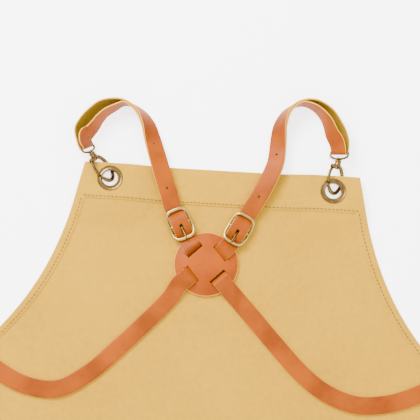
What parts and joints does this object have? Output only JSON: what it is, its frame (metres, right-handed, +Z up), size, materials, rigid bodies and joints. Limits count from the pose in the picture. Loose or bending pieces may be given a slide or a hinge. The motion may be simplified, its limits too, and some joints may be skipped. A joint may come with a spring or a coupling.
{
  "type": "butcher apron",
  "caption": "Canvas bib apron lying face down, with a leather cross-back harness, slotted disc, buckles and swivel hooks in grommets.",
  "frame": {"origin": "on the underside of the canvas, on its centre line, halfway down its length", "axes": "+Y along the canvas towards the bib, +X across it, +Z up from the table, through the wrong side"},
  "size_m": [0.724, 0.9036, 0.0257],
  "materials": {
    "canvas": "plain woven cotton canvas",
    "thread": "cotton thread",
    "leather": "vegetable-tanned, smooth grain",
    "brass": "antique brass plate",
    "steel": "plain"
  },
  "bodies": {
    "apron": {"canvas_panel": "canvas", "top_hem_thread": "thread", "bottom_hem_thread": "thread", "left_armhole_thread": "thread", "left_side_thread": "thread", "right_armhole_thread": "thread", "right_side_thread": "thread", "bib_right_eyelet": "brass", "bib_right_washer": "brass", "bib_left_eyelet": "brass", "bib_left_washer": "brass", "waist_right_eyelet": "brass", "waist_right_washer": "brass", "waist_left_eyelet": "brass", "waist_left_washer": "brass", "bib_right_claw": "brass", "bib_right_gate_pin": "steel", "bib_right_gate_spring": "steel", "bib_left_claw": "brass", "bib_left_gate_pin": "steel", "bib_left_gate_spring": "steel", "waist_right_claw": "brass", "waist_right_gate_pin": "steel", "waist_right_gate_spring": "steel", "waist_right_rivet": "brass", "waist_left_claw": "brass", "waist_left_gate_pin": "steel", "waist_left_gate_spring": "steel", "waist_left_rivet": "brass", "cross_disc": "leather", "right_buckle_frame": "brass", "right_return_rivet": "brass", "right_shoulder_strap": "leather", "left_buckle_frame": "brass", "left_return_rivet": "brass", "left_shoulder_strap": "leather"},
    "bib_right_gate_body": {"bib_right_gate": "brass"},
    "bib_right_eye_body": {"bib_right_swivel_eye": "brass"},
    "bib_left_gate_body": {"bib_left_gate": "brass"},
    "bib_left_eye_body": {"bib_left_swivel_eye": "brass"},
    "waist_right_gate_body": {"waist_right_gate": "brass"},
    "waist_right_eye_body": {"waist_right_swivel_eye": "brass"},
    "waist_left_gate_body": {"waist_left_gate": "brass"},
    "waist_left_eye_body": {"waist_left_swivel_eye": "brass"},
    "right_buckle_tongue_body": {"right_buckle_tongue": "brass"},
    "left_buckle_tongue_body": {"left_buckle_tongue": "brass"}
  },
  "joints": [
    {"name": "bib_right_gate_hinge", "type": "hinge", "parent": "apron", "child": "bib_right_gate_body", "pos_m": [0.12125, 0.4198, 0.01206], "axis": [0.6083, -0.0975, 0.7877], "range_deg": [0, 8], "stiffness_Nm_per_rad": 0.02, "springref_deg": -34.38},
    {"name": "bib_right_eye_swivel", "type": "hinge", "parent": "apron", "child": "bib_right_eye_body", "pos_m": [0.12368, 0.40615, 0.0085], "axis": [0.1218, 0.9921, 0.0288], "range_deg": [0, 74], "deforming": ["right_shoulder_strap"]},
    {"name": "bib_left_gate_hinge", "type": "hinge", "parent": "apron", "child": "bib_left_gate_body", "pos_m": [-0.14231, 0.41037, 0.01295], "axis": [0.5202, 0.3379, 0.7844], "range_deg": [0, 8], "stiffness_Nm_per_rad": 0.02, "springref_deg": -34.38},
    {"name": "bib_left_eye_swivel", "type": "hinge", "parent": "apron", "child": "bib_left_eye_body", "pos_m": [-0.13084, 0.40303, 0.0085], "axis": [-0.6398, 0.7625, 0.0958], "range_deg": [-100, 0], "deforming": ["left_shoulder_strap"]},
    {"name": "waist_right_gate_hinge", "type": "hinge", "parent": "apron", "child": "waist_right_gate_body", "pos_m": [0.32291, 0.14914, 0.01168], "axis": [0.5221, -0.3263, 0.788], "range_deg": [0, 8], "stiffness_Nm_per_rad": 0.02, "springref_deg": -34.38},
    {"name": "waist_right_eye_swivel", "type": "hinge", "parent": "apron", "child": "waist_right_eye_body", "pos_m": [0.31929, 0.13566, 0.0085], "axis": [0.5299, 0.848, 0], "range_deg": [-30, 30], "deforming": ["left_shoulder_strap"]},
    {"name": "waist_left_gate_hinge", "type": "hinge", "parent": "apron", "child": "waist_left_gate_body", "pos_m": [-0.32982, 0.14483, 0.01168], "axis": [0.5221, 0.3263, 0.788], "range_deg": [0, 8], "stiffness_Nm_per_rad": 0.02, "springref_deg": -34.38},
    {"name": "waist_left_eye_swivel", "type": "hinge", "parent": "apron", "child": "waist_left_eye_body", "pos_m": [-0.31929, 0.13566, 0.0085], "axis": [-0.5299, 0.848, 0], "range_deg": [-30, 30], "deforming": ["right_shoulder_strap"]},
    {"name": "right_buckle_tongue_hinge", "type": "hinge", "parent": "apron", "child": "right_buckle_tongue_body", "pos_m": [0.022, 0.3441, 0.0063], "axis": [0.891, -0.454, 0], "range_deg": [-20, 0], "deforming": ["right_shoulder_strap"]},
    {"name": "left_buckle_tongue_hinge", "type": "hinge", "parent": "apron", "child": "left_buckle_tongue_body", "pos_m": [-0.042, 0.3462, 0.0063], "axis": [0.891, 0.454, 0], "range_deg": [-20, 0], "deforming": ["left_shoulder_strap"]}
  ]
}
